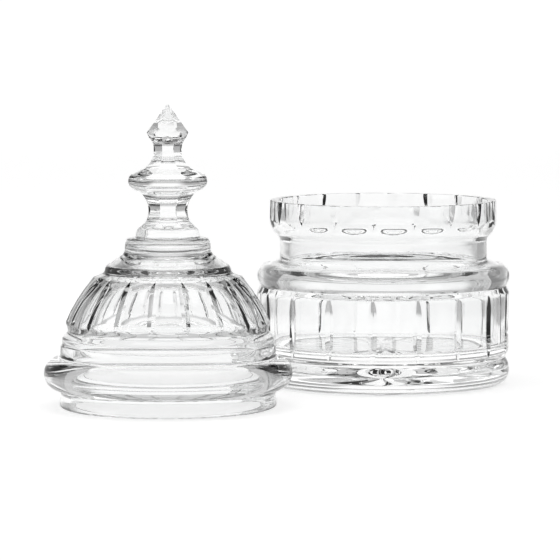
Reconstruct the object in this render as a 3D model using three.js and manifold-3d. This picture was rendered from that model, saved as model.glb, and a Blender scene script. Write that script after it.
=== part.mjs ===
// Cut crystal powder jar with its lid off: an open jar, and a domed lid with a faceted finial
// standing on its own locating ring beside it. Millimetres, +Z up, z = 0 is the table top.
import * as THREE from "three";
import { mergeVertices } from "three/addons/utils/BufferGeometryUtils.js";
import Module from "manifold-3d";

const wasm = await Module();
wasm.setup();

const DEGREE = Math.PI / 180;

// Where the two pieces stand. The origin is the middle of the set's footprint.
const JAR_AT = new THREE.Vector3(48.4, 45.5, 0);
const LID_AT = new THREE.Vector3(-52.4, -49.5, 0);

// The cutting pattern: the same number of upright mitre cuts on the rim, the body and the dome.
const CUTS = 18;
const CUT_PITCH = 360 / CUTS;
const JAR_CUT_ANGLE = -96.4; // degrees from +X of one cut on the jar
const LID_CUT_ANGLE = -97.8;

// The mitre wheels that make the upright cuts. All have the same V edge.
const WHEEL_EDGE_DEPTH = 4.2;
const WHEEL_HALF_THICKNESS = 6;
const BODY_WHEEL = { radius: 110, depth: 1.4, segments: 96 };
const SMALL_WHEEL = { radius: 42, segments: 44 };

// Jar
const JAR_HEIGHT = 88.4;
const FOOT_RADIUS = 60.8;
const FOOT_ROUND = 6;
const FOOT_TOP = 8.6;
const FOOT_GROOVE = { radius: 58.9, z: 13.3 };
const BODY_RADIUS = 60.6;
const BODY_BOTTOM = 16.4;
const BODY_TOP = 44.4;
const SHOULDER_GROOVE = { radius: 58.9, z: 47.3 };
const SHOULDER_BEAD = { centre: 54.6, z: 52, round: 6.2, start: -40 };
const NECK_RADIUS = 49.85;
const NECK_BOTTOM = 59.2;
const NECK_TOP = 68.8;
const RIM_RADIUS = 54.7;
const RIM_BOTTOM = 79.5;
const RIM_ROUND = 0.8;
const MOUTH_RADIUS = 50.2;
const MOUTH_BOTTOM = 80;
const THROAT_RADIUS = 45.4;
const THROAT_TOP = 68.5;
const THROAT_BOTTOM = 60;
const BOWL_RADIUS = 54.9;
const BOWL_TOP = 49;
const BOWL_FLOOR = 17.5;
const BOWL_CORNER = 4;
const RIM_PANEL_DISTANCE = 54.1;
const RIM_PANEL_BOTTOM = 78;
const RIM_PANEL_TOP = 91;
const RIM_CUT_CENTRE = 89.5;
const RIM_CUT_DEPTH = 2.1;
const BODY_CUT_CENTRE = 30.5;

// The jar's curved runs: two handles and an end, each as [radius, height].
const RIM_COVE = [[NECK_RADIUS, 72.8], [RIM_RADIUS, 72], [RIM_RADIUS, RIM_BOTTOM]];
const MOUTH_COVE = [[MOUTH_RADIUS, 73.5], [THROAT_RADIUS, 74], [THROAT_RADIUS, THROAT_TOP]];
const THROAT_FLARE = [[THROAT_RADIUS, 57], [46.6, 56], [48.6, 55.2]];
const BOWL_SHOULDER = [[53, 53.6], [BOWL_RADIUS, 53.2], [BOWL_RADIUS, BOWL_TOP]];

// Under the jar: a standing ring round a shallow recess with a star of radial mitre cuts.
const STAND_OUTER = FOOT_RADIUS - FOOT_ROUND;
const STAND_INNER = 50;
const RECESS_RADIUS = 48;
const RECESS_HEIGHT = 1;
const STAR_RAYS = 24;
const STAR_PITCH = 360 / STAR_RAYS;
const STAR_RADIUS = 45;
const STAR_HALF_WIDTH = 2.2;
const STAR_DEPTH = 2.4;

// Lid
const PLUG_RADIUS = 49.5;
const PLUG_ROUND = 1.3;
const PLUG_INNER = 44.8;
const BEAD = { z: 15.4, round: 7.3 };
const DRUM_TOP_RADIUS = 48.9;
const DRUM_TOP = 28.4;
const DRUM_CHAMFER = 0.4;
const LEDGE_RADIUS = 48.3;
const LEDGE_TOP = 31.6;
const DOME_FOOT = { radius: 45.8, z: 34.5 };
const DOME_BELLY = { radius: 46.5, z: 38.3 };
const DOME_TOP = { radius: 33.9, z: 59.6 };
const CROWN_LIP = { radius: 31.2, z: 60.1 };
const CROWN_FOOT = { radius: 28.8, z: 61.4 };
const CROWN_TOP = { radius: 28.4, z: 63.6 };
const COLLAR_RADIUS = 19.5;
const COLLAR_FOOT = { radius: 20.1, z: 70.2 };
const COLLAR_BOTTOM = 71.8;
const COLLAR_TOP = 77.4;
const COLLAR_ROUND = 2.6;
const CAVITY_TOP = 67.6;
const CAVITY_CROWN = [[10, CAVITY_TOP], [15.5, 67], [18.5, 63]];
const CAVITY_SIDE = [[29.5, 57], [40, 47], [43.2, 31]];
const DOME_PANEL_DEPTH = 0.7;
const DOME_PANEL_CLEARANCE = 20;
const DOME_CUT_DEPTH = 1.35;
const DOME_CUT_PLACES = [0.25, 0.53, 0.8]; // how far up the dome's curve the wheel is set for each cut

// Finial, cut with eight sides
const FINIAL_SIDES = 8;
const FINIAL_CORNER_ANGLE = -109;
const FLARE = { radius: 14.5, bottom: 79.4, waist: 81, top: 82.6 };
const FLARE_WAIST_RADIUS = 13.9;
const FLARE_TOP_RADIUS = 11.3;
const STEM_ROOT_RADIUS = 12.5;
const STEM_ROOT_TOP = 82;
const LOWER_NECK = { radius: 9.5, z: 89.8 };
const DISC = { radius: 18, z: 102.8, half: 4.6 };
const DISC_UNDER_RADIUS = 13.3;
const DISC_TOP_RADIUS = 12.6;
const DISC_HANDLE = 2.7;
const STEM_IN_DISC = { radius: 14.4, half: 3.2 };
const UPPER_NECK = { radius: 6.9, z: 116.6 };
const GIRDLE = { radius: 9.8, z: 124.8 };
const LOWER_CURVE_Z = 84.4; // the heights of the handles of the stem's four curves
const UNDER_CURVE_Z = 94.8;
const UPPER_CURVE_Z = 109.3;
const SPEAR_CURVE_Z = 120.6;
const LID_HEIGHT = 137.5;
const OVERLAP = 1; // how far one turned form reaches into the next, to join them

// How finely round shapes are cut into facets
const SEGMENTS = CUTS * 2;
const DISC_SEGMENTS = 24;
const CURVE_STEPS = 3;
const FINE_CURVE_STEPS = 5;

const crystal = new THREE.MeshStandardMaterial({
  color: 0xeef2f4,
  roughness: 0.03,
  metalness: 0,
});

// Add a curved run to a path, from its two handles and its end.
function curve(path, [first, second, end]) {
  path.bezierCurveTo(...first, ...second, ...end);
}

// A closed geometry as a manifold-3d solid.
function solid(geometry) {
  const bare = geometry.index ? geometry.toNonIndexed() : geometry.clone();
  bare.deleteAttribute("normal");
  bare.deleteAttribute("uv");
  const merged = mergeVertices(bare, 1e-4);
  return new wasm.Manifold(
    new wasm.Mesh({
      numProp: 3,
      vertProperties: merged.attributes.position.array,
      triVerts: new Uint32Array(merged.index.array),
    }),
  );
}

// A manifold-3d solid as a named mesh.
function mesh(name, made) {
  const { vertProperties, triVerts } = made.getMesh();
  const geometry = new THREE.BufferGeometry();
  geometry.setAttribute("position", new THREE.BufferAttribute(vertProperties, 3));
  geometry.setIndex(new THREE.BufferAttribute(triVerts, 1));
  geometry.computeVertexNormals();
  const result = new THREE.Mesh(geometry, crystal);
  result.name = name;
  return result;
}

// A body of revolution about Z from a path of (radius, height), with a vertex at firstAngle.
function turned(path, steps, segments, firstAngle) {
  const points = path.getPoints(steps).filter((p, i, all) => i === 0 || p.distanceTo(all[i - 1]) > 1e-6);
  const geometry = new THREE.LatheGeometry(points, segments);
  geometry.rotateX(90 * DEGREE);
  geometry.rotateZ((firstAngle - 90) * DEGREE);
  return solid(geometry);
}

// A geometry made in the (radius, height) plane at +X, turned to the given angle about Z.
function atAngle(geometry, angle) {
  return solid(geometry.clone().rotateZ(angle * DEGREE));
}

// A mitre wheel standing upright in the plane of +X and +Z, its edge reaching the point
// (radius, height) from outside along a line that rises by the angle tilt.
function mitreWheel(size, radius, height, tilt) {
  const edge = size.radius - WHEEL_EDGE_DEPTH;
  const profile = [
    new THREE.Vector2(0, -WHEEL_HALF_THICKNESS),
    new THREE.Vector2(edge, -WHEEL_HALF_THICKNESS),
    new THREE.Vector2(size.radius, 0),
    new THREE.Vector2(edge, WHEEL_HALF_THICKNESS),
    new THREE.Vector2(0, WHEEL_HALF_THICKNESS),
  ];
  const wheel = new THREE.LatheGeometry(profile, size.segments);
  return wheel.translate(radius + size.radius * Math.cos(tilt), 0, height + size.radius * Math.sin(tilt));
}

// The jar's section: from under the centre, up the outside, over the rim and down into the bowl.
function jarSection() {
  const path = new THREE.Path();
  path.moveTo(0, RECESS_HEIGHT);
  path.lineTo(RECESS_RADIUS, RECESS_HEIGHT);
  path.lineTo(STAND_INNER, 0);
  path.lineTo(STAND_OUTER, 0);
  path.absarc(STAND_OUTER, FOOT_ROUND, FOOT_ROUND, -90 * DEGREE, 0);
  path.lineTo(FOOT_RADIUS, FOOT_TOP);
  path.lineTo(FOOT_GROOVE.radius, FOOT_GROOVE.z);
  path.lineTo(BODY_RADIUS, BODY_BOTTOM);
  path.lineTo(BODY_RADIUS, BODY_TOP);
  path.lineTo(SHOULDER_GROOVE.radius, SHOULDER_GROOVE.z);
  const { centre, z, round, start } = SHOULDER_BEAD;
  path.absarc(centre, z, round, start * DEGREE, 90 * DEGREE);
  path.lineTo(NECK_RADIUS, NECK_BOTTOM);
  path.lineTo(NECK_RADIUS, NECK_TOP);
  curve(path, RIM_COVE);
  path.lineTo(RIM_RADIUS, JAR_HEIGHT - RIM_ROUND);
  path.lineTo(RIM_RADIUS - RIM_ROUND, JAR_HEIGHT);
  path.lineTo(MOUTH_RADIUS + RIM_ROUND, JAR_HEIGHT);
  path.lineTo(MOUTH_RADIUS, JAR_HEIGHT - RIM_ROUND);
  path.lineTo(MOUTH_RADIUS, MOUTH_BOTTOM);
  curve(path, MOUTH_COVE);
  path.lineTo(THROAT_RADIUS, THROAT_BOTTOM);
  curve(path, THROAT_FLARE);
  curve(path, BOWL_SHOULDER);
  path.lineTo(BOWL_RADIUS, BOWL_FLOOR + BOWL_CORNER);
  path.absarc(BOWL_RADIUS - BOWL_CORNER, BOWL_FLOOR + BOWL_CORNER, BOWL_CORNER, 0, -90 * DEGREE, true);
  path.lineTo(0, BOWL_FLOOR);
  return path;
}

// A flat across one rim panel, from below the foot of the panel to above the rim's top.
function rimPanelCutter() {
  const height = RIM_PANEL_TOP - RIM_PANEL_BOTTOM;
  const box = new THREE.BoxGeometry(RIM_RADIUS, RIM_RADIUS, height);
  return box.translate(RIM_PANEL_DISTANCE + RIM_RADIUS / 2, 0, RIM_PANEL_BOTTOM + height / 2);
}

// One ray of the star under the base: a V groove from the centre outwards.
function starRay() {
  const section = new THREE.Shape();
  section.moveTo(-STAR_HALF_WIDTH, -STAR_DEPTH);
  section.lineTo(STAR_HALF_WIDTH, -STAR_DEPTH);
  section.lineTo(0, STAR_DEPTH);
  const ray = new THREE.ExtrudeGeometry(section, { depth: STAR_RADIUS, bevelEnabled: false });
  ray.rotateX(90 * DEGREE);
  ray.rotateZ(90 * DEGREE);
  return ray;
}

function makeJar() {
  let jar = turned(jarSection(), CURVE_STEPS, SEGMENTS, JAR_CUT_ANGLE);
  const bodyCut = mitreWheel(BODY_WHEEL, BODY_RADIUS - BODY_WHEEL.depth, BODY_CUT_CENTRE, 0);
  const rimCut = mitreWheel(SMALL_WHEEL, RIM_RADIUS - RIM_CUT_DEPTH, RIM_CUT_CENTRE, 0);
  const rimPanel = rimPanelCutter();
  for (let i = 0; i < CUTS; i += 1) {
    const angle = JAR_CUT_ANGLE + i * CUT_PITCH;
    jar = jar.subtract(atAngle(rimPanel, angle + CUT_PITCH / 2));
    jar = jar.subtract(atAngle(bodyCut, angle));
    jar = jar.subtract(atAngle(rimCut, angle));
  }
  const ray = starRay();
  for (let i = 0; i < STAR_RAYS; i += 1) {
    jar = jar.subtract(atAngle(ray, JAR_CUT_ANGLE + i * STAR_PITCH));
  }
  return jar;
}

// The dome's outer curve in (radius, height), from its belly up to the crown.
const domeCurve = new THREE.CubicBezierCurve(
  new THREE.Vector2(DOME_BELLY.radius, DOME_BELLY.z),
  new THREE.Vector2(46.2, 41.5),
  new THREE.Vector2(40, 52.5),
  new THREE.Vector2(DOME_TOP.radius, DOME_TOP.z),
);

// The lid's section: from the top of its cavity, down the inside, round the plug and up the outside.
function lidSection() {
  const path = new THREE.Path();
  path.moveTo(0, CAVITY_TOP);
  curve(path, CAVITY_CROWN);
  curve(path, CAVITY_SIDE);
  path.lineTo(PLUG_INNER, PLUG_ROUND);
  path.lineTo(PLUG_INNER + PLUG_ROUND, 0);
  path.lineTo(PLUG_RADIUS - PLUG_ROUND, 0);
  path.lineTo(PLUG_RADIUS, PLUG_ROUND);
  path.lineTo(PLUG_RADIUS, BEAD.z - BEAD.round);
  path.absarc(PLUG_RADIUS, BEAD.z, BEAD.round, -90 * DEGREE, 90 * DEGREE);
  path.lineTo(DRUM_TOP_RADIUS, DRUM_TOP);
  path.lineTo(LEDGE_RADIUS, DRUM_TOP + DRUM_CHAMFER);
  path.lineTo(LEDGE_RADIUS, LEDGE_TOP);
  path.lineTo(DOME_FOOT.radius, DOME_FOOT.z);
  path.lineTo(DOME_BELLY.radius, DOME_BELLY.z);
  const { v1, v2, v3 } = domeCurve;
  path.bezierCurveTo(v1.x, v1.y, v2.x, v2.y, v3.x, v3.y);
  path.lineTo(CROWN_LIP.radius, CROWN_LIP.z);
  path.lineTo(CROWN_FOOT.radius, CROWN_FOOT.z);
  path.lineTo(CROWN_TOP.radius, CROWN_TOP.z);
  path.lineTo(COLLAR_FOOT.radius, COLLAR_FOOT.z);
  path.lineTo(COLLAR_RADIUS, COLLAR_BOTTOM);
  path.lineTo(COLLAR_RADIUS, COLLAR_TOP - COLLAR_ROUND);
  path.absarc(COLLAR_RADIUS - COLLAR_ROUND, COLLAR_TOP - COLLAR_ROUND, COLLAR_ROUND, 0, 90 * DEGREE);
  path.lineTo(0, COLLAR_TOP);
  return path;
}

// The stem of the finial, eight-sided from the flare to the tip of the spear.
function stemSection() {
  const path = new THREE.Path();
  path.moveTo(0, COLLAR_TOP - OVERLAP);
  path.lineTo(STEM_ROOT_RADIUS, COLLAR_TOP - OVERLAP);
  path.lineTo(STEM_ROOT_RADIUS, STEM_ROOT_TOP);
  path.quadraticCurveTo(LOWER_NECK.radius, LOWER_CURVE_Z, LOWER_NECK.radius, LOWER_NECK.z);
  path.quadraticCurveTo(LOWER_NECK.radius, UNDER_CURVE_Z, STEM_IN_DISC.radius, DISC.z - STEM_IN_DISC.half);
  path.lineTo(STEM_IN_DISC.radius, DISC.z + STEM_IN_DISC.half);
  path.quadraticCurveTo(UPPER_NECK.radius, UPPER_CURVE_Z, UPPER_NECK.radius, UPPER_NECK.z);
  path.quadraticCurveTo(UPPER_NECK.radius, SPEAR_CURVE_Z, GIRDLE.radius, GIRDLE.z);
  path.lineTo(0, LID_HEIGHT);
  return path;
}

// The round flare that the stem rises from.
function flareSection() {
  const path = new THREE.Path();
  path.moveTo(0, COLLAR_TOP - OVERLAP);
  path.lineTo(FLARE.radius, COLLAR_TOP - OVERLAP);
  path.lineTo(FLARE.radius, FLARE.bottom);
  path.lineTo(FLARE_WAIST_RADIUS, FLARE.waist);
  path.lineTo(FLARE_TOP_RADIUS, FLARE.top);
  path.lineTo(0, FLARE.top);
  return path;
}

// The round knob of the finial, a lens with a soft edge.
function discSection() {
  const path = new THREE.Path();
  path.moveTo(0, DISC.z - DISC.half);
  path.lineTo(DISC_UNDER_RADIUS, DISC.z - DISC.half);
  path.quadraticCurveTo(DISC.radius, DISC.z - DISC_HANDLE, DISC.radius, DISC.z);
  path.quadraticCurveTo(DISC.radius, DISC.z + DISC_HANDLE, DISC_TOP_RADIUS, DISC.z + DISC.half);
  path.lineTo(0, DISC.z + DISC.half);
  return path;
}

// A flat across one panel of the dome, following the dome's curve a little below its surface.
function domePanelCutter() {
  const curve = domeCurve.getPoints(FINE_CURVE_STEPS);
  const outside = DOME_BELLY.radius + DOME_PANEL_CLEARANCE;
  const shape = new THREE.Shape();
  shape.moveTo(outside, DOME_BELLY.z);
  shape.lineTo(outside, DOME_TOP.z);
  curve.reverse().forEach((p) => shape.lineTo(p.x - DOME_PANEL_DEPTH, p.y));
  const width = 2 * DOME_BELLY.radius * Math.tan((CUT_PITCH / 2) * DEGREE);
  const cutter = new THREE.ExtrudeGeometry(shape, { depth: width, bevelEnabled: false });
  cutter.translate(0, 0, -width / 2);
  return cutter.rotateX(90 * DEGREE);
}

function makeLid() {
  let lid = turned(lidSection(), CURVE_STEPS, SEGMENTS, LID_CUT_ANGLE);
  const panel = domePanelCutter();
  for (let i = 0; i < CUTS; i += 1) {
    const angle = LID_CUT_ANGLE + i * CUT_PITCH;
    lid = lid.subtract(atAngle(panel, angle + CUT_PITCH / 2));
    for (const along of DOME_CUT_PLACES) {
      const point = domeCurve.getPoint(along);
      const tangent = domeCurve.getTangent(along);
      const tilt = Math.atan2(-tangent.x, tangent.y);
      const x = point.x - DOME_CUT_DEPTH * Math.cos(tilt);
      const z = point.y - DOME_CUT_DEPTH * Math.sin(tilt);
      lid = lid.subtract(atAngle(mitreWheel(SMALL_WHEEL, x, z, tilt), angle));
    }
  }
  lid = lid.add(turned(flareSection(), CURVE_STEPS, DISC_SEGMENTS, FINIAL_CORNER_ANGLE));
  lid = lid.add(turned(stemSection(), FINE_CURVE_STEPS, FINIAL_SIDES, FINIAL_CORNER_ANGLE));
  return lid.add(turned(discSection(), FINE_CURVE_STEPS, DISC_SEGMENTS, FINIAL_CORNER_ANGLE));
}

const set = new THREE.Group();

const jar = mesh("jar", makeJar());
jar.position.copy(JAR_AT);
set.add(jar);

const lid = mesh("lid", makeLid());
lid.position.copy(LID_AT);
set.add(lid);

export default set;
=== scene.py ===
"""Cut crystal powder jar with its domed lid standing beside it, on a white studio sweep.

The glass is drawn in millimetres, turned to metres when a piece is made, and the studio in metres. Sections
are drawn as (radius, height) from the axis round to the axis, turned about Z, and the cutting is then worked
into the turned wall."""

import math

import bmesh
import bpy
from mathutils import Matrix, Vector


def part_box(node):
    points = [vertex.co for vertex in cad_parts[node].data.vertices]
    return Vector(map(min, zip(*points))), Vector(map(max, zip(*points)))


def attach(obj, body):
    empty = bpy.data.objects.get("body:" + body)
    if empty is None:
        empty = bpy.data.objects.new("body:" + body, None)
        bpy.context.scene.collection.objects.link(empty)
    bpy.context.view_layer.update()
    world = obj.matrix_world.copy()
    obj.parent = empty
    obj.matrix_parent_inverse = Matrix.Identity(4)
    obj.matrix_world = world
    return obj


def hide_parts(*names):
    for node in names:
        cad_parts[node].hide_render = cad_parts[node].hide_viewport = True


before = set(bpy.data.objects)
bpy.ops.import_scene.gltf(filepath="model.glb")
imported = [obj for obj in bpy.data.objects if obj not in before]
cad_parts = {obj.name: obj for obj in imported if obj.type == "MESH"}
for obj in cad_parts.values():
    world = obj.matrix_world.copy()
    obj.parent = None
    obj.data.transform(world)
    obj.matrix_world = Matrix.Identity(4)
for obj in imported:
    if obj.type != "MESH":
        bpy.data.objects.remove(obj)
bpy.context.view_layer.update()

MM = 0.001
DEGREE = math.pi / 180

# Camera: a long lens, a little above the lid, looking slightly down. Its place is in metres.
CAMERA_AT = (-0.0014, -1.6285, 0.1942)
CAMERA_DOWN = 4.94
CAMERA_LENS = 223.84
CAMERA_SENSOR = 36

# The white sweep behind and under the set, in metres. A camera can go all the way round the set inside it.
SWEEP = {"half_width": 4.2, "front": -4.2, "back": 3.6, "bend": 0.8, "height": 4.2}
SWEEP_BEND_ROWS = 12

# How bright the middle of the sweep is, and how much of that is the room's light on it; the rest is painted
# light, an emission that stands in for the studio's light on the paper.
SWEEP_WHITE = 1.04
SWEEP_LIT = 0.385

# How far behind the set the painted lit band starts to widen with distance.
BAND_WIDENS = 1.1

# The light of the room all round, and how often light may bounce in the glass.
ROOM_LIGHT = (0.6, 0.6, 0.6, 1)
GLASS_BOUNCES = 32

# The columns of every turned piece: a whole number to each cut, each side of the finial and each star ray.
COLUMNS = 288
CUTS = 18
CUT_PITCH = 360 / CUTS
JAR_CUT_ANGLE = -96.4
LID_CUT_ANGLE = -97.8

# The columns within this angle of a cut's middle are drawn to its edges.
CUT_COLUMN = 2 * 360 / COLUMNS

# The mitre wheel: a V edge whose half width is this much of its depth.
V_SPREAD = 2.1
V_REACH = math.hypot(1, 1 / V_SPREAD)
V_LEAN = math.atan(1 / V_SPREAD)

# Half the angle that is kept for a cut where it has run out, so that its columns never meet.
CLOSED_CUT = 0.12 * DEGREE

# Faces that meet at more than this make a crisp edge, and at less a smooth one.
ARRIS_ANGLE = 17 * DEGREE

# Jar
BODY_RADIUS = 60.6
BODY_CUT = {"z": 30.5, "depth": 1.2, "wheel": 110}
RIM_CUT = {"z": 89.5, "depth": 1.6, "wheel": 42}
RIM_RADIUS = 54.7
RIM_PANEL = 54.1
STAR_PITCH = 360 / 24
STAR = {"depth": 2.4, "half_width": 2.2, "radius": 45, "run_out": 6}
STAR_LAND = 0.1

# Lid
DOME_PANEL = {"depth": 0.7, "bottom": 37.4, "full": 41.2}
DOME_CUT = {"depth": 1.1, "bottom": 37.0, "top": 60.0, "run_in": 8, "deepening": 0.3}
FINIAL_PITCH = 45
FINIAL_CORNER = LID_CUT_ANGLE - 11.25
HALF_SIDE = math.cos(FINIAL_PITCH / 2 * DEGREE)

# Where the finial's flats fade into its collar and its knob: up to each height, the flats fade away from a
# level at a rate for each millimetre of height.
FLATS_FADE = (
    {"up_to": 92, "level": 84.4, "rate": -0.035},
    {"up_to": 103, "level": 97.0, "rate": 0.04},
    {"up_to": 117, "level": 108.7, "rate": -0.045},
)

# The spear: the neck's flats, hollow-ground flats between them, and the pointed head. Its mesh rows start at
# these heights, and the edges between the rings of flats are looked for below and above the girdle.
UPPER_NECK = {"side": 6.35, "z": 118.2, "hollow": 4.6}
PAVILION = {"side": 7.15, "z": 118.5, "hollow": 12.5}
SPEAR = {"slope": 0.7095, "z": 138.2}
SPEAR_ROWS = (116.6, 119.6, 127, 137.5)
SPEAR_GIRDLE = {"low": 118, "middle": 123.5, "high": 130}

# Points of a section nearer than the first are one point, and points of a mesh nearer than the second.
SAME_POINT = 1e-3
SAME_VERT = 1e-4

# The kinds of cutting that a stretch of a section can have.
PLAIN, BODY, RIM, STAR_FACE, DOME, FINIAL, SPEAR_HEAD = range(7)


class Section:
    """A section drawn point by point. Each point also says which cutting is worked into it."""

    def __init__(self, radius, z):
        self.points = [(radius, z, PLAIN)]

    def line(self, radius, z, rows=1, zone=PLAIN):
        """A straight stretch to a point."""
        r0, z0, _ = self.points[-1]
        for i in range(1, rows + 1):
            t = i / rows
            self.points.append((r0 + (radius - r0) * t, z0 + (z - z0) * t, zone))
        return self

    def arc(self, radius, z, rounding, start, end, rows, zone=PLAIN):
        """A round stretch about a middle at (radius, z), between two angles."""
        for i in range(rows + 1):
            angle = (start + (end - start) * i / rows) * DEGREE
            point = (radius + rounding * math.cos(angle), z + rounding * math.sin(angle), zone)
            if math.dist(point[:2], self.points[-1][:2]) > SAME_POINT:
                self.points.append(point)
        return self

    def curve(self, first, second, end, rows, zone=PLAIN):
        """A Bezier curve by its two handles and its end."""
        start = self.points[-1]
        for i in range(1, rows + 1):
            t = i / rows
            parts = ((1 - t) ** 3, 3 * t * (1 - t) ** 2, 3 * t * t * (1 - t), t ** 3)
            corners = (start, first, second, end)
            r, z = (sum(k * p[axis] for k, p in zip(parts, corners)) for axis in (0, 1))
            self.points.append((r, z, zone))
        return self


def jar_section():
    """From the middle of the base, up the outside to the rim, and down the inside to the floor."""
    s = Section(0, 1)
    # Recessed base with its star, and the standing ring
    s.line(46, 1, rows=30, zone=STAR_FACE)
    s.line(48, 1, rows=2).curve((48.6, 1), (49.2, 0), (50, 0), rows=5)
    # Foot and lower groove
    s.line(54.8, 0, rows=2).arc(54.8, 6, 6, -90, 0, rows=14)
    s.line(60.8, 8.6, rows=2).curve((60.8, 10.4), (59.7, 11.6), (59.05, 13.0), rows=8)
    s.curve((58.85, 13.35), (58.95, 13.5), (59.2, 13.85), rows=4)
    # Body and upper groove
    s.curve((59.8, 14.9), (60.55, 15.5), (60.68, 17), rows=7, zone=BODY)
    s.curve((60.7, 25), (60.4, 25), (60.45, 31), rows=26, zone=BODY)
    s.curve((60.5, 37), (60.75, 37), (60.75, 43.6), rows=24, zone=BODY)
    s.curve((60.7, 45), (60.1, 45.6), (59.5, 46.7), rows=6, zone=BODY)
    s.curve((59.15, 47.2), (59.15, 47.5), (59.5, 47.95), rows=4)
    # Shoulder and neck
    s.curve((60.1, 48.9), (60.75, 50), (60.8, 51.7), rows=7)
    s.curve((60.85, 55.4), (58.4, 58.1), (54.8, 58.2), rows=14)
    s.curve((53, 58.3), (51.8, 58.5), (50.9, 58.9), rows=4)
    s.curve((50.2, 59.2), (49.85, 59.9), (49.85, 60.9), rows=4)
    s.line(49.85, 68.4, rows=3)
    # Rim
    s.curve((49.85, 72.8), (54.45, 71.9), (RIM_RADIUS, 79.5), rows=22, zone=RIM)
    s.line(RIM_RADIUS, 87.7, rows=16, zone=RIM)
    s.arc(RIM_RADIUS - 0.7, 87.7, 0.7, 0, 90, rows=4, zone=RIM)
    s.line(50.9, 88.4, rows=3)
    s.arc(50.9, 87.7, 0.7, 90, 180, rows=4)
    # Inside: mouth, cove, throat, bowl and floor
    s.line(50.2, 80, rows=2).curve((50.2, 73.5), (45.4, 74), (45.4, 68.5), rows=24)
    s.line(45.4, 60, rows=2).curve((45.4, 57), (46.6, 56), (48.6, 55.2), rows=12)
    s.curve((53, 53.6), (54.9, 53.2), (54.9, 49), rows=16)
    s.line(54.9, 21.5, rows=3).arc(50.9, 21.5, 4, 0, -90, rows=9)
    s.line(0, 17.5, rows=6)
    return s.points


def lid_section():
    """From the top of the hollow down to the locating ring, and up the outside to the finial's point."""
    s = Section(0, 67.6)
    # Inside: the top and wall of the hollow
    s.curve((10, 67.6), (15.5, 67), (18.5, 63), rows=14)
    s.curve((29.5, 57), (40, 47), (43.2, 31), rows=26)
    s.line(44.8, 1.3, rows=4).arc(46.1, 1.3, 1.3, 180, 270, rows=4)
    # Locating ring, bead and drum
    s.line(48.2, 0, rows=1).arc(48.2, 1.3, 1.3, -90, 0, rows=5)
    s.curve((49.5, 4), (49.1, 5.5), (49.15, 6.6), rows=4)
    s.curve((49.15, 7.4), (49.3, 7.9), (49.9, 8.1), rows=3)
    s.arc(49.5, 15.4, 7.3, -84, 84, rows=30)
    s.curve((49.6, 22.7), (49.4, 23.2), (49.3, 24), rows=3)
    # Ledge
    s.line(48.95, 28.2, rows=2).curve((48.9, 28.7), (48.4, 28.7), (48.38, 29.2), rows=4)
    s.line(48.3, 31.2, rows=1).curve((48.3, 32), (47.6, 32.7), (46.9, 33.4), rows=5)
    s.curve((46.1, 34.2), (45.65, 34.4), (45.75, 35.3), rows=4)
    # Dome
    s.curve((45.9, 36.3), (46.4, 37.2), (46.5, 38.3), rows=9, zone=DOME)
    s.curve((46.2, 42), (40, 52.3), (34.2, 59.2), rows=62, zone=DOME)
    s.curve((33.3, 60.2), (31.4, 60.2), (30.2, 60.9), rows=5, zone=DOME)
    # Crown and collar
    s.curve((29.2, 61.3), (28.9, 61.9), (28.8, 62.5), rows=4)
    s.curve((28.5, 63.6), (28.5, 64.2), (27.6, 64.8), rows=5)
    s.curve((25.4, 66.2), (23, 67.7), (21.2, 69.1), rows=6)
    s.curve((20.4, 69.8), (19.9, 70.4), (19.75, 71.2), rows=4)
    s.line(19.5, 74.2, rows=2).curve((19.3, 76.2), (18.2, 77.3), (16.2, 77.4), rows=8)
    s.curve((15.3, 77.4), (14.7, 77.7), (14.6, 78.4), rows=5)
    # Finial: lower neck, knob and upper neck
    s.curve((14.5, 79.3), (14.3, 80.4), (13.8, 81.2), rows=4, zone=FINIAL)
    s.curve((11.6, 83.2), (9.52, 85.6), (9.52, 89.9), rows=16, zone=FINIAL)
    s.curve((9.52, 93.2), (11.6, 96.4), (14.2, 98.6), rows=16, zone=FINIAL)
    s.curve((16.2, 99.4), (18, 100.8), (18, 102.6), rows=10, zone=FINIAL)
    s.curve((18, 105.6), (16.4, 106.4), (13.4, 107.6), rows=12, zone=FINIAL)
    s.curve((10.2, 109), (6.87, 112.4), (6.87, 116.6), rows=18, zone=FINIAL)
    # Spear
    s.line(8, 119.6, rows=4, zone=SPEAR_HEAD)
    s.line(9.5, 127, rows=26, zone=SPEAR_HEAD)
    s.line(0.5, 137.5, rows=8, zone=SPEAR_HEAD)
    s.line(0, 137.5)
    return s.points


def offset_from(angle, pitch, first):
    """The signed angle from the nearest line of a pattern that repeats every pitch degrees."""
    return (angle - first + pitch / 2) % pitch - pitch / 2


def v_half_angle(wall, bottom):
    """Half the angle that a V mitre takes of a wall, when its bottom is at that radius."""
    half = 0.0
    for _ in range(5):
        reach = min(1.0, bottom / (wall(half) * V_REACH))
        half = max(0.0, math.acos(reach) - V_LEAN)
    return half


def v_cut(offset, wall, bottom):
    """The new offset and radius of a point beside a V mitre, with the mesh columns drawn to its edges."""
    limit = CUT_PITCH / 2 * DEGREE
    column = CUT_COLUMN * DEGREE
    side = abs(offset) * DEGREE
    half = max(CLOSED_CUT, min(v_half_angle(wall, bottom), limit - CLOSED_CUT))
    if side <= column:
        side = side / column * half
    else:
        side = half + (side - column) / (limit - column) * (limit - half)
    radius = min(wall(side), bottom / (math.cos(side) - math.sin(side) / V_SPREAD))
    return math.copysign(side / DEGREE, offset), radius


def cut_body(radius, angle, z):
    """Upright mitres from a large wheel, deepest at mid height and run out at both ends."""
    offset = offset_from(angle, CUT_PITCH, JAR_CUT_ANGLE)
    bottom = BODY_RADIUS - BODY_CUT["depth"] + (z - BODY_CUT["z"]) ** 2 / (2 * BODY_CUT["wheel"])
    moved, radius = v_cut(offset, lambda side: radius, bottom)
    return radius, angle + moved - offset, z


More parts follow.
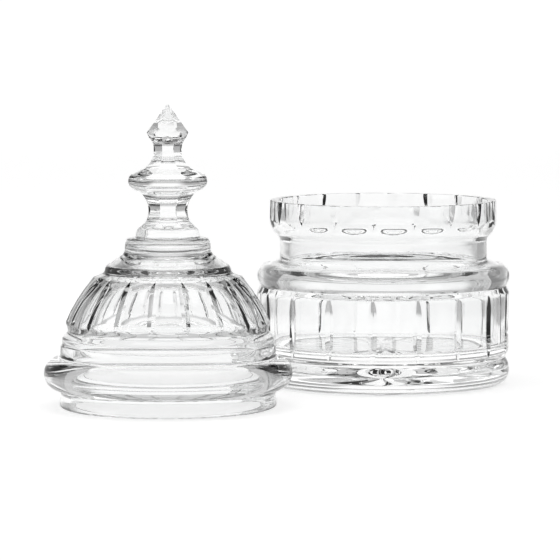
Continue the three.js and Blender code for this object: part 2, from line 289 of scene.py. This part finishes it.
def cut_rim(radius, angle, z):
    """Flat panels with a mitre from a small wheel between each pair, open at the top."""
    offset = offset_from(angle, CUT_PITCH, JAR_CUT_ANGLE)
    bottom = RIM_RADIUS - RIM_CUT["depth"] + (z - RIM_CUT["z"]) ** 2 / (2 * RIM_CUT["wheel"])
    half_pitch = CUT_PITCH / 2 * DEGREE
    moved, radius = v_cut(offset, lambda side: min(radius, RIM_PANEL / math.cos(half_pitch - side)), bottom)
    return radius, angle + moved - offset, z


def cut_star(radius, angle, z):
    """V rays from the middle of the base, each as wide as it has room for and run out at its tip."""
    offset = offset_from(angle, STAR_PITCH, JAR_CUT_ANGLE)
    limit = STAR_PITCH / 2 - STAR_LAND
    spread = STAR["half_width"] / max(radius, STAR["half_width"])
    half = min(limit, math.asin(spread) / DEGREE)
    side = abs(offset)
    if side <= CUT_COLUMN:
        side = side / CUT_COLUMN * half
    else:
        side = half + (side - CUT_COLUMN) / (STAR_PITCH / 2 - CUT_COLUMN) * (STAR_PITCH / 2 - half)
    across = radius * math.sin(side * DEGREE)
    run_out = min(1.0, max(0.0, (STAR["radius"] - radius) / STAR["run_out"]))
    depth = STAR["depth"] * max(0.0, run_out - across / STAR["half_width"])
    return radius, angle + math.copysign(side, offset) - offset, z + depth


def cut_dome(radius, angle, z):
    """Flat panels up the dome with a mitre between each pair."""
    offset = offset_from(angle, CUT_PITCH, LID_CUT_ANGLE)
    half_pitch = CUT_PITCH / 2 * DEGREE
    bare = radius
    short = max(0.0, (DOME_PANEL["full"] - z) / (DOME_PANEL["full"] - DOME_PANEL["bottom"]))
    panel = radius - DOME_PANEL["depth"] * (1 - min(1.0, short) ** 2)
    along = (z - DOME_CUT["bottom"]) / (DOME_CUT["top"] - DOME_CUT["bottom"])
    run_in = min(1.0, DOME_CUT["run_in"] * along * (1 - along))
    depth = DOME_CUT["depth"] * run_in * (1 + DOME_CUT["deepening"] * along)
    moved, radius = v_cut(offset, lambda side: min(bare, panel / math.cos(half_pitch - side)), bare - depth)
    return radius, angle + moved - offset, z


def cut_finial(radius, angle, z):
    """Eight flats that fade into the round of the collar and the knob."""
    side = abs(offset_from(angle, FINIAL_PITCH, FINIAL_CORNER + FINIAL_PITCH / 2)) * DEGREE
    fade = next(stretch for stretch in FLATS_FADE if z < stretch["up_to"])
    run_out = max(0.0, (z - fade["level"]) * fade["rate"])
    return min(radius, radius * HALF_SIDE * (1 + run_out) / math.cos(side)), angle, z


def hollow_flat(cut, rise):
    """How far a hollow-ground flat is from the axis, at a height above the deepest place of its hollow."""
    return cut["side"] + rise ** 2 / (2 * cut["hollow"])


def crossing(inner, outer, low, high):
    """The height between low and high at which inner stops being inside outer."""
    for _ in range(30):
        middle = (low + high) / 2
        if inner(middle) < outer(middle):
            low = middle
        else:
            high = middle
    return low


def cut_spear(radius, angle, z):
    """The spear's flats. Rows of the mesh are moved onto the edges where one ring of flats meets the next."""
    side = abs(offset_from(angle, FINIAL_PITCH, FINIAL_CORNER + FINIAL_PITCH / 2)) * DEGREE
    other = abs(offset_from(angle, FINIAL_PITCH, FINIAL_CORNER)) * DEGREE

    def neck(z):
        return hollow_flat(UPPER_NECK, max(0.0, z - UPPER_NECK["z"])) / math.cos(side)

    def pavilion(z):
        return hollow_flat(PAVILION, z - PAVILION["z"]) / math.cos(other)

    def head(z):
        return SPEAR["slope"] * (SPEAR["z"] - z) / math.cos(side)

    lower_edge = crossing(neck, pavilion, SPEAR_GIRDLE["low"], SPEAR_GIRDLE["middle"])
    upper_edge = crossing(pavilion, head, SPEAR_GIRDLE["middle"], SPEAR_GIRDLE["high"])
    edges = (SPEAR_ROWS[0], lower_edge, upper_edge, SPEAR_ROWS[3])
    for row, next_row, edge, next_edge in zip(SPEAR_ROWS, SPEAR_ROWS[1:], edges, edges[1:]):
        if z <= next_row:
            z = edge + (z - row) / (next_row - row) * (next_edge - edge)
            break
    return min(neck(z), head(z), pavilion(z)), angle, z


CUTTERS = {
    BODY: cut_body,
    RIM: cut_rim,
    STAR_FACE: cut_star,
    DOME: cut_dome,
    FINIAL: cut_finial,
    SPEAR_HEAD: cut_spear,
}


def turn_and_cut(name, section, first_angle, centre, material):
    """A closed turned body with its cutting, standing at centre."""
    bm = bmesh.new()
    zone = bm.verts.layers.int.new("zone")
    chain = []
    for radius, z, kind in section:
        vert = bm.verts.new((radius, 0, z))
        vert[zone] = kind
        chain.append(vert)
    edges = [bm.edges.new(pair) for pair in zip(chain, chain[1:])]
    bmesh.ops.rotate(bm, verts=chain, cent=(0, 0, 0), matrix=Matrix.Rotation(first_angle * DEGREE, 3, "Z"))
    bmesh.ops.spin(bm, geom=chain + edges, cent=(0, 0, 0), axis=(0, 0, 1), angle=2 * math.pi,
                   steps=COLUMNS, use_merge=True, use_duplicate=False)
    bmesh.ops.remove_doubles(bm, verts=bm.verts, dist=SAME_VERT)
    for vert in bm.verts:
        x, y, z = vert.co
        radius = math.hypot(x, y)
        if vert[zone] and radius > SAME_VERT:
            radius, angle, z = CUTTERS[vert[zone]](radius, math.atan2(y, x) / DEGREE, z)
            vert.co = (radius * math.cos(angle * DEGREE), radius * math.sin(angle * DEGREE), z)
    bmesh.ops.recalc_face_normals(bm, faces=bm.faces)
    bmesh.ops.scale(bm, vec=(MM, MM, MM), verts=bm.verts)
    bmesh.ops.translate(bm, vec=centre, verts=bm.verts)
    mesh = bpy.data.meshes.new(name)
    bm.to_mesh(mesh)
    bm.free()
    mesh.materials.append(material)
    mesh.shade_smooth()
    mesh.set_sharp_from_angle(angle=ARRIS_ANGLE)
    piece = bpy.data.objects.new(name, mesh)
    bpy.context.scene.collection.objects.link(piece)
    return piece


class Value:
    """A shader socket that can be used in Python arithmetic."""

    def __init__(self, finish, socket):
        self.finish = finish
        self.socket = socket

    def maths(self, operation, first, second):
        node = self.finish.node("ShaderNodeMath", {"operation": operation}, {0: first, 1: second})
        return Value(self.finish, node.outputs[0])

    def __add__(self, other):
        return self.maths("ADD", self, other)

    __radd__ = __add__

    def __mul__(self, other):
        return self.maths("MULTIPLY", self, other)

    __rmul__ = __mul__

    def __truediv__(self, other):
        return self.maths("DIVIDE", self, other)

    def __rtruediv__(self, other):
        return self.maths("DIVIDE", other, self)

    def __sub__(self, other):
        return self.maths("SUBTRACT", self, other)

    def __rsub__(self, other):
        return self.maths("SUBTRACT", other, self)


class Finish:
    """A node material. node() adds any node: first its settings, then the values or links of its sockets."""

    def __init__(self, name):
        self.material = bpy.data.materials.new(name)
        self.material.use_nodes = True
        self.tree = self.material.node_tree
        self.tree.nodes.clear()

    def node(self, kind, settings=None, sockets=None):
        node = self.tree.nodes.new(kind)
        for key, value in (settings or {}).items():
            setattr(node, key, value)
        for key, value in (sockets or {}).items():
            if isinstance(value, Value):
                self.tree.links.new(value.socket, node.inputs[key])
            elif isinstance(value, bpy.types.NodeSocket):
                self.tree.links.new(value, node.inputs[key])
            else:
                node.inputs[key].default_value = value
        return node

    def value(self, socket):
        return Value(self, socket)

    def surface(self, shader):
        self.node("ShaderNodeOutputMaterial", {}, {"Surface": shader.outputs[0]})
        return self.material


def crystal_finish():
    """Polished lead crystal: clear, with faint cloudy bands in the melt, the ripple that polishing leaves and
    a few fine scuffs."""
    f = Finish("polished_crystal")
    place = f.node("ShaderNodeTexCoord").outputs["Object"]
    melt = f.node("ShaderNodeTexNoise", {}, {"Vector": place, "Scale": 26, "Detail": 3, "Distortion": 1.2})
    tint = f.node("ShaderNodeMix", {"data_type": "RGBA"}, {
        "Factor": melt.outputs["Fac"],
        "A": (0.965, 0.972, 0.975, 1),
        "B": (0.985, 0.985, 0.982, 1),
    })
    ripple = f.node("ShaderNodeTexNoise", {}, {"Vector": place, "Scale": 90, "Detail": 1.5})
    scuffs = f.node("ShaderNodeTexNoise", {}, {"Vector": place, "Scale": 900, "Detail": 2})
    bump = f.node("ShaderNodeBump", {}, {
        "Height": f.value(ripple.outputs["Fac"]) + f.value(scuffs.outputs["Fac"]) * 0.02,
        "Strength": 0.04,
        "Distance": 0.0004,
    })
    body = f.node("ShaderNodeBsdfPrincipled", {}, {
        "Base Color": f.value(tint.outputs["Result"]),
        "Roughness": 0.0,
        "IOR": 1.545,
        "Transmission Weight": 1.0,
        "Normal": bump.outputs["Normal"],
    })
    return f.surface(body)


def sweep_finish():
    """Matt white paper that glows with painted light, standing in for the studio's light on it, less so at
    its sides and high up, as the light falls off it.
    """
    f = Finish("white_sweep_painted_glow")
    place = f.node("ShaderNodeSeparateXYZ", {}, {"Vector": f.node("ShaderNodeTexCoord").outputs["Object"]})
    depth = f.value(place.outputs["Y"])
    behind = depth.maths("MAXIMUM", depth, BAND_WIDENS)

    def painted_falloff(axis, start, end, low):
        """One, falling to low between two places along an axis: the falloff of the painted light."""
        ramp = f.node("ShaderNodeMapRange", {"interpolation_type": "SMOOTHSTEP"}, {
            "Value": f.value(place.outputs[axis]) * BAND_WIDENS / behind,
            "From Min": start,
            "From Max": end,
            "To Min": 1,
            "To Max": low,
        })
        return f.value(ramp.outputs["Result"])

    # Painted light: the paper's emission is full in the middle and falls off to the sides and high up, less
    # the room's real light on it.
    painted_glow = painted_falloff("X", 0.22, 0.42, 0.45) * painted_falloff("X", -0.22, -0.5, 0.48) * painted_falloff("Z", 0.18, 0.45, 0.55)
    painted_glow = painted_glow * SWEEP_WHITE - SWEEP_LIT
    paper = f.node("ShaderNodeBsdfPrincipled", {}, {
        "Base Color": (0.6, 0.6, 0.6, 1),
        "Roughness": 0.6,
        "Specular IOR Level": 0.0,
        "Emission Color": painted_glow,
        "Emission Strength": 1.0,
    })
    return f.surface(paper)


def flag_finish():
    """Black flocked card."""
    f = Finish("black_card")
    cloth = f.node("ShaderNodeBsdfPrincipled", {}, {"Base Color": (0.01, 0.01, 0.01, 1), "Roughness": 0.9})
    return f.surface(cloth)


def centre_of(node):
    """The middle of a node's underside."""
    low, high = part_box(node)
    return Vector(((low.x + high.x) / 2, (low.y + high.y) / 2, low.z))


def staged(name, bm, finish):
    """A piece of the studio, not of the set."""
    bmesh.ops.recalc_face_normals(bm, faces=bm.faces)
    mesh = bpy.data.meshes.new(name)
    bm.to_mesh(mesh)
    bm.free()
    mesh.shade_smooth()
    mesh.materials.append(finish)
    piece = bpy.data.objects.new(name, mesh)
    bpy.context.scene.collection.objects.link(piece)
    return piece


def studio_sweep():
    """The floor, rising behind in one soft bend."""
    bm = bmesh.new()
    line = [(SWEEP["front"], 0)]
    for i in range(SWEEP_BEND_ROWS + 1):
        angle = i / SWEEP_BEND_ROWS * math.pi / 2
        y = SWEEP["back"] - SWEEP["bend"] * (1 - math.sin(angle))
        z = SWEEP["bend"] * (1 - math.cos(angle))
        line.append((y, z))
    line.append((SWEEP["back"], SWEEP["height"]))
    verts = [bm.verts.new((-SWEEP["half_width"], y, z)) for y, z in line]
    edges = [bm.edges.new(pair) for pair in zip(verts, verts[1:])]
    across = bmesh.ops.extrude_edge_only(bm, edges=edges)["geom"]
    moved = [g for g in across if isinstance(g, bmesh.types.BMVert)]
    bmesh.ops.translate(bm, verts=moved, vec=(2 * SWEEP["half_width"], 0, 0))
    return staged("studio_sweep", bm, sweep_finish())


def flag(name, finish, azimuth, elevation, size, distance=1.0):
    """A black card facing the set, seen only through the glass. Azimuth goes from behind to the right."""
    turn = Matrix.Rotation(-azimuth * DEGREE, 4, "Z") @ Matrix.Rotation(elevation * DEGREE, 4, "X")
    bm = bmesh.new()
    bmesh.ops.create_grid(bm, x_segments=1, y_segments=1, size=0.5)
    bmesh.ops.scale(bm, vec=(size[0], size[1], 1), verts=bm.verts)
    bmesh.ops.rotate(bm, verts=bm.verts, cent=(0, 0, 0), matrix=Matrix.Rotation(90 * DEGREE, 3, "X"))
    bmesh.ops.translate(bm, verts=bm.verts, vec=(0, distance, 0))
    bmesh.ops.transform(bm, verts=bm.verts, matrix=turn)
    card = staged(name, bm, finish)
    card.visible_camera = False
    return card


def softbox(name, at, target, size, power):
    lamp = bpy.data.lights.new(name, "AREA")
    lamp.shape = "RECTANGLE"
    lamp.size, lamp.size_y = size
    lamp.energy = power
    light = bpy.data.objects.new(name, lamp)
    light.location = at
    light.rotation_euler = (Vector(target) - Vector(at)).to_track_quat("-Z", "Y").to_euler()
    bpy.context.scene.collection.objects.link(light)
    return light


def camera():
    data = bpy.data.cameras.new("camera")
    data.lens = CAMERA_LENS
    data.sensor_width = CAMERA_SENSOR
    made = bpy.data.objects.new("camera", data)
    made.location = CAMERA_AT
    made.rotation_euler = ((90 - CAMERA_DOWN) * DEGREE, 0, 0)
    bpy.context.scene.collection.objects.link(made)
    bpy.context.scene.camera = made


def studio():
    scene = bpy.context.scene
    scene.view_settings.view_transform = "Standard"
    scene.cycles.max_bounces = GLASS_BOUNCES
    scene.cycles.transmission_bounces = GLASS_BOUNCES
    world = bpy.data.worlds.new("studio")
    world.use_nodes = True
    world.node_tree.nodes["Background"].inputs["Color"].default_value = ROOM_LIGHT
    scene.world = world
    studio_sweep()
    card = flag_finish()
    flag("left_flag", card, azimuth=-34, elevation=34, size=(0.16, 0.3))
    flag("right_flag", card, azimuth=30, elevation=32, size=(0.25, 0.3))
    flag("high_flag", card, azimuth=0, elevation=50, size=(1.5, 0.2))
    flag("front_flag", card, azimuth=180, elevation=38, size=(1.4, 0.3))
    softbox("top_softbox", at=(0, 0, 1.0), target=(0, 0, 0), size=(0.9, 0.7), power=2.1)
    softbox("left_softbox", at=(-0.9, -0.3, 0.45), target=(0, 0, 0.05), size=(0.5, 0.7), power=0.9)


camera()
studio()
crystal = crystal_finish()

jar = turn_and_cut("crystal_jar", jar_section(), JAR_CUT_ANGLE, centre_of("jar"), crystal)
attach(jar, "jar")
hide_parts("jar")

lid = turn_and_cut("crystal_lid", lid_section(), LID_CUT_ANGLE, centre_of("lid"), crystal)
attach(lid, "lid")
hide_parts("lid")
